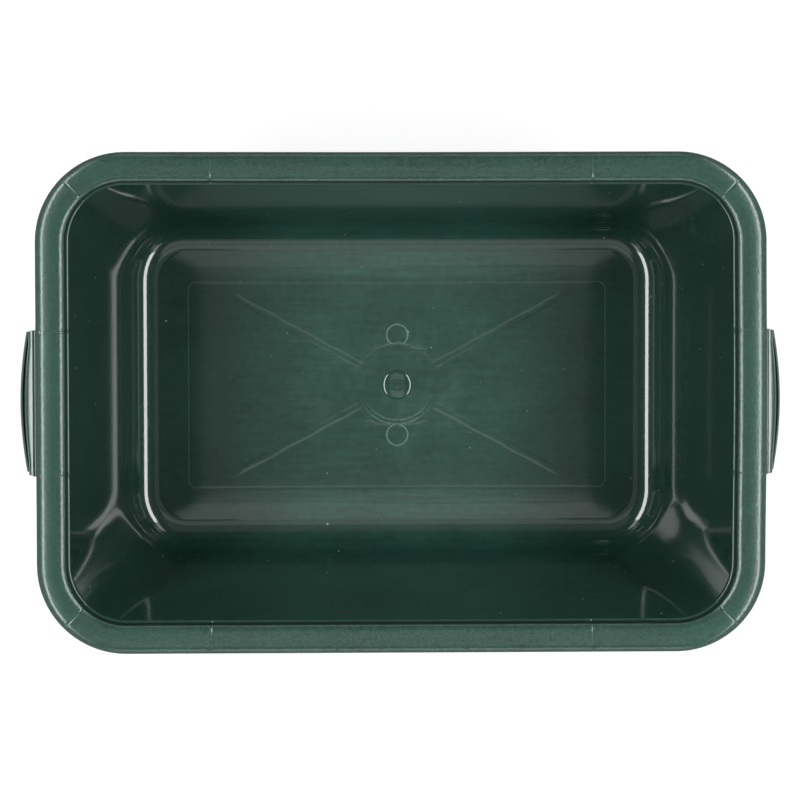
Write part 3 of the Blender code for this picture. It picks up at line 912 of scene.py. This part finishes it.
def plastic(name, rough, coat, coat_rough, gloss_level, grain, base=GREEN, leather=0.0,
            specks=0.0, scratches=0.0, painted_end_shade=0.0, painted_low_shade=None, floor_light_and_wear=False):
    """Moulded plastic: a mottled colour and soft gloss under a sharper coat, with fine bumps."""
    material = bpy.data.materials.new(name)
    material.use_nodes = True
    tree = material.node_tree
    shader = tree.nodes["Principled BSDF"]
    where, split = split_axes(tree, "Object")

    cloud = noise(tree, where, 14.0, 4.0, 0.55)
    mottle = noise(tree, where, 160.0, 3.0, 0.6)
    flow = noise(tree, where, 1.0, 4.0, 0.65, (1 / 22.0, 1 / 260.0, 1 / 260.0))
    fine = noise(tree, where, 480.0, 2.0, 0.55)
    tone = math_node(tree, "MULTIPLY_ADD", cloud, 0.8, 0.0)
    tone = math_node(tree, "MULTIPLY_ADD", mottle, 0.7, tone)
    tone = math_node(tree, "MULTIPLY_ADD", flow, 0.5, tone)
    skin = coat
    if leather > 0:
        tone = math_node(tree, "MULTIPLY_ADD", fine, leather * 4.0, tone)
        tone = math_node(tree, "SUBTRACT", tone, leather * 2.0)
        skin = math_node(tree, "MULTIPLY", ramp(tree, fine, 0.35, 0.65, 1.0 - leather, 1.0), coat)
    colour = multiplied(tree, (*base, 1.0), tone)
    gloss = ramp(tree, mottle, 0.3, 0.7, rough * 0.92, rough * 1.08)
    if painted_end_shade > 0:
        # painted shade: the ends of the tub are a little darker
        off = math_node(tree, "ABSOLUTE", split.outputs["X"])
        colour = multiplied(tree, colour, ramp(tree, off, 0.15, 0.27, 1.0, 1.0 - painted_end_shade))
    # painted light on the floor, with its pale wear
    if floor_light_and_wear:
        colour = paint_floor_light_and_wear(tree, where, split, colour, flow, fine)
    if painted_low_shade:
        # painted shade darkens the sides that the crown hides, and their coat is thinner and
        # rougher there
        start, full, share = painted_low_shade
        painted_shade_share = ramp(tree, split.outputs["Z"], full, start, share, 1.0)
        colour = multiplied(tree, colour, painted_shade_share)
        skin = math_node(tree, "MULTIPLY", skin, painted_shade_share)
        gloss = math_node(tree, "DIVIDE", gloss, math_node(tree, "POWER", painted_shade_share, 0.2))
    if specks > 0:
        for scale, share in ((95.0, specks), (210.0, specks * 0.5)):
            colour = dusty(tree, where, colour, scale, share)

    ripple = noise(tree, where, 60.0, 2.0, 0.5)
    height = math_node(tree, "MULTIPLY", fine, grain)
    height = math_node(tree, "MULTIPLY_ADD", ripple, min(grain, 0.00003), height)
    height = math_node(tree, "MULTIPLY_ADD", flow, 0.000012, height)
    if scratches > 0:
        for turn, across in ((0.3, 45.0), (1.9, 60.0), (1.2, 38.0)):
            thin = noise(tree, where, 9.0, 2.0, 0.5, (1 / across, 1 / 2.2, 1 / 2.2), turn)
            line = ramp(tree, thin, 0.70, 0.72)
            height = math_node(tree, "MULTIPLY_ADD", line, -scratches, height)
    bump = tree.nodes.new("ShaderNodeBump")
    bump.inputs["Strength"].default_value = 1.0
    bump.inputs["Distance"].default_value = 1.0
    tree.links.new(height, bump.inputs["Height"])

    normal = bump.outputs["Normal"]
    for output, socket in ((normal, "Normal"), (normal, "Coat Normal"),
                           (colour, "Base Color"), (gloss, "Roughness")):
        tree.links.new(output, shader.inputs[socket])
    # an even coat is set on the shader itself
    if isinstance(skin, float):
        shader.inputs["Coat Weight"].default_value = skin
    else:
        tree.links.new(skin, shader.inputs["Coat Weight"])
    for socket, value in (("IOR", 1.5), ("Specular IOR Level", gloss_level),
                          ("Specular Tint", GLOSS_TINT), ("Coat Roughness", coat_rough),
                          ("Coat IOR", 1.6)):
        shader.inputs[socket].default_value = value
    return material


# the shell gets painted light on its floor and painted shade at its ends
SHELL_PLASTIC = plastic("shell_plastic", rough=0.50, coat=1.0, coat_rough=0.080, gloss_level=0.15,
                        grain=0.000008, specks=0.13, scratches=0.000008, painted_end_shade=0.35,
                        floor_light_and_wear=True)
OUTER_PLASTIC = plastic("outer_plastic", rough=0.50, coat=0.30, coat_rough=0.14, gloss_level=0.25,
                        grain=0.00001, specks=0.05)
MARK_PLASTIC = plastic("mark_plastic", rough=0.55, coat=0.3, coat_rough=0.15, gloss_level=0.3,
                       grain=0.00001, base=PALE)
# the rim's steep sides get painted shade
RIM_PLASTIC = plastic("rim_plastic", rough=0.50, coat=0.80, coat_rough=0.18, gloss_level=0.50,
                      grain=0.00010, base=SHADED_RIM_GREEN, leather=0.45,
                      painted_low_shade=(TOP - 0.0030, TOP - 0.0046, 0.30))
LEDGE_PLASTIC = plastic("ledge_plastic", rough=0.50, coat=0.48, coat_rough=0.12, gloss_level=0.30,
                        grain=0.00003, base=SHADED_RIM_GREEN, leather=0.15)
# the grip's steep face gets painted shade
GRIP_PLASTIC = plastic("grip_plastic", rough=0.50, coat=1.0, coat_rough=0.16, gloss_level=0.25,
                       grain=0.00004, leather=0.15, painted_low_shade=(TOP - 0.0124, TOP - 0.0135, 0.20))
BEAD_PLASTIC = plastic("bead_plastic", rough=0.55, coat=0.2, coat_rough=0.20, gloss_level=0.35,
                       grain=0.00004, leather=0.15)
BASE_PLASTIC = plastic("base_plastic", rough=0.5, coat=0.4, coat_rough=0.2, gloss_level=0.5,
                       grain=0.00001)


def dress(item, material, slot, *nodes):
    """Gives a piece its material and body, and hides the solids that it takes the place of. slot is
    not used.
    """
    item.data.materials.append(material)
    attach(item, "root")
    if nodes:
        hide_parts(*nodes)
    return item


shell = dress(make_shell(), SHELL_PLASTIC, "shell_plastic", "tub_shell")
shell.data.materials.append(OUTER_PLASTIC)
rim = dress(make_rim(), RIM_PLASTIC, "rim_plastic", "rim_flange")
rim.data.materials.append(LEDGE_PLASTIC)
dress(make_gate(), SHELL_PLASTIC, "shell_plastic", "gate_button")
dress(make_ejector_mark("ejector_mark_back", EJECTOR_PLACE), MARK_PLASTIC, "shell_plastic")
dress(make_ejector_mark("ejector_mark_front", -EJECTOR_PLACE), MARK_PLASTIC, "shell_plastic")
for side, word in ((-1, "left"), (1, "right")):
    grip = make_grip(word + "_grip_skin", side)
    dress(grip, GRIP_PLASTIC, "rim_plastic", word + "_handle")
    grip.data.materials.append(BEAD_PLASTIC)

# the solids that no skin replaces show in a plain material
for name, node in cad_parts.items():
    if node.hide_render:
        continue
    node.data.materials.clear()
    node.data.materials.append(RIM_PLASTIC if name.startswith("gusset") else BASE_PLASTIC)


# Floor, lights and camera

FLOOR_GLOW = 0.73


def make_stage():
    """Grey floor that glows white to the eye and still takes the tub's shadow."""
    size = 12.0
    verts = [(-size, -size, 0.0), (size, -size, 0.0), (size, size, 0.0), (-size, size, 0.0)]
    item = object_from("studio_floor", verts, [(0, 1, 2, 3)], recalc=False)
    material = bpy.data.materials.new("studio_floor")
    material.use_nodes = True
    tree = material.node_tree
    shader = tree.nodes["Principled BSDF"]
    shader.inputs["Base Color"].default_value = (0.30, 0.30, 0.30, 1.0)
    shader.inputs["Roughness"].default_value = 0.9
    shader.inputs["Specular IOR Level"].default_value = 0.0
    shader.inputs["Emission Color"].default_value = (1.0, 1.0, 1.0, 1.0)
    glow = math_node(tree, "MULTIPLY", seen(tree), FLOOR_GLOW)
    tree.links.new(glow, shader.inputs["Emission Strength"])
    item.data.materials.append(material)


def area(name, place, aim, size_x, size_y, radiance):
    """A soft box of a given radiance that faces a point and that the camera does not see."""
    light = bpy.data.lights.new(name, "AREA")
    light.shape = "RECTANGLE"
    light.size = size_x
    light.size_y = size_y
    light.energy = radiance * math.pi * size_x * size_y
    item = bpy.data.objects.new(name, light)
    bpy.context.scene.collection.objects.link(item)
    item.location = place
    forward = (Vector(aim) - Vector(place)).normalized()
    item.rotation_euler = forward.to_track_quat("-Z", "Y").to_euler()
    item.visible_camera = False


SIDE_ANGLE = math.radians(45)
SIDE_DISTANCE = 1.9
ENDS_DISTANCE = 1.93
SIDE_WIDTH = 0.43
TARGET = (0.0, -0.05, 0.10)
for side, word in ((-1, "left"), (1, "right")):
    for part, length, distance, radiance in (("core", 2.6, SIDE_DISTANCE, 9.0),
                                             ("ends", 5.0, ENDS_DISTANCE, 2.6)):
        place = (side * distance * math.sin(SIDE_ANGLE), TARGET[1],
                 TARGET[2] + distance * math.cos(SIDE_ANGLE))
        area("side_%s_%s" % (word, part), place, TARGET, length, SIDE_WIDTH, radiance)

# soft boxes overhead: middle in X, width, reach in Y and radiance
OVERHEAD = 2.44
for name, middle, width, low_y, high_y, radiance in (
        ("overhead_back", 0.04, 0.90, 0.10, 0.62, 0.75),
        ("overhead_back_bright", 0.04, 0.88, 0.18, 0.50, 0.50),
        ("overhead_back_far", 0.0, 1.6, 0.62, 1.5, 0.26),
        ("overhead_back_last", 0.0, 1.6, 1.5, 2.1, 0.20),
        ("overhead_front", 0.04, 0.90, -0.95, -0.49, 0.95),
        ("overhead_front_bright", 0.04, 0.88, -0.86, -0.57, 0.50),
        ("overhead_front_far", 0.0, 1.6, -1.45, -0.95, 0.70),
        ("overhead_front_next", 0.0, 1.6, -2.0, -1.45, 0.85),
        ("overhead_front_last", 0.0, 1.6, -2.55, -2.0, 0.36),
        ("overhead_middle_floor", 0.04, 0.90, -0.49, 0.10, 0.25),
        ("overhead_middle_wide", 0.03, 0.58, -0.49, 0.10, 0.15),
        ("overhead_middle", 0.03, 0.42, -0.49, 0.10, 0.13),
        ("overhead_middle_slim", 0.03, 0.26, -0.49, 0.10, 0.12)):
    centre = (low_y + high_y) / 2
    area(name, (middle, centre, OVERHEAD), (middle, centre, 0.0), width, high_y - low_y,
         radiance)

# low soft boxes in front and behind, seen only in the rim's edges
for side, word, height, across, radiance in ((-1, "front", 1.05, 0.45, 3.0),
                                             (1, "back", 1.25, 0.28, 2.4)):
    area("low_" + word, (0.0, side * 2.3, height), (0.0, 0.0, 0.15), 1.6, across, radiance)


WALL_GLOW = 1.0
CEILING_GLOW = 0.06
AMBIENT = 0.08


def make_world():
    """White at eye level and dim above for the camera and in gloss, with a little even light."""
    world = bpy.data.worlds.new("studio")
    bpy.context.scene.world = world
    world.use_nodes = True
    tree = world.node_tree
    background = tree.nodes["Background"]
    eye = seen(tree)
    _where, split = split_axes(tree, "Generated")
    wall = ramp(tree, split.outputs["Z"], 0.04, 0.30, WALL_GLOW, CEILING_GLOW)
    strength = math_node(tree, "MULTIPLY", wall, eye)
    rest = math_node(tree, "SUBTRACT", 1.0, eye)
    strength = math_node(tree, "MULTIPLY_ADD", rest, AMBIENT, strength)
    tree.links.new(strength, background.inputs["Strength"])
    background.inputs["Color"].default_value = (1.0, 1.0, 1.0, 1.0)


CAMERA_PLACE = (-0.045, 0.177, 2.1853)
CAMERA_TURN = (-2.0, -1.0, -0.081)
CAMERA_SHIFT = (0.0134, -0.1569)
PHOTO_SIZE = 800
FOCAL_PIXELS = 2391.4


def make_camera():
    """The photograph's camera, above the tub and looking down."""
    data = bpy.data.cameras.new("photo_camera")
    data.sensor_width = 36.0
    data.lens = data.sensor_width * FOCAL_PIXELS / PHOTO_SIZE
    data.shift_x, data.shift_y = CAMERA_SHIFT
    data.clip_start = 0.05
    data.clip_end = 50.0
    item = bpy.data.objects.new("photo_camera", data)
    bpy.context.scene.collection.objects.link(item)
    item.location = CAMERA_PLACE
    item.rotation_euler = Euler([math.radians(a) for a in CAMERA_TURN], "XYZ")
    bpy.context.scene.camera = item


make_stage()
make_world()
make_camera()
bpy.context.scene.view_settings.view_transform = "Standard"
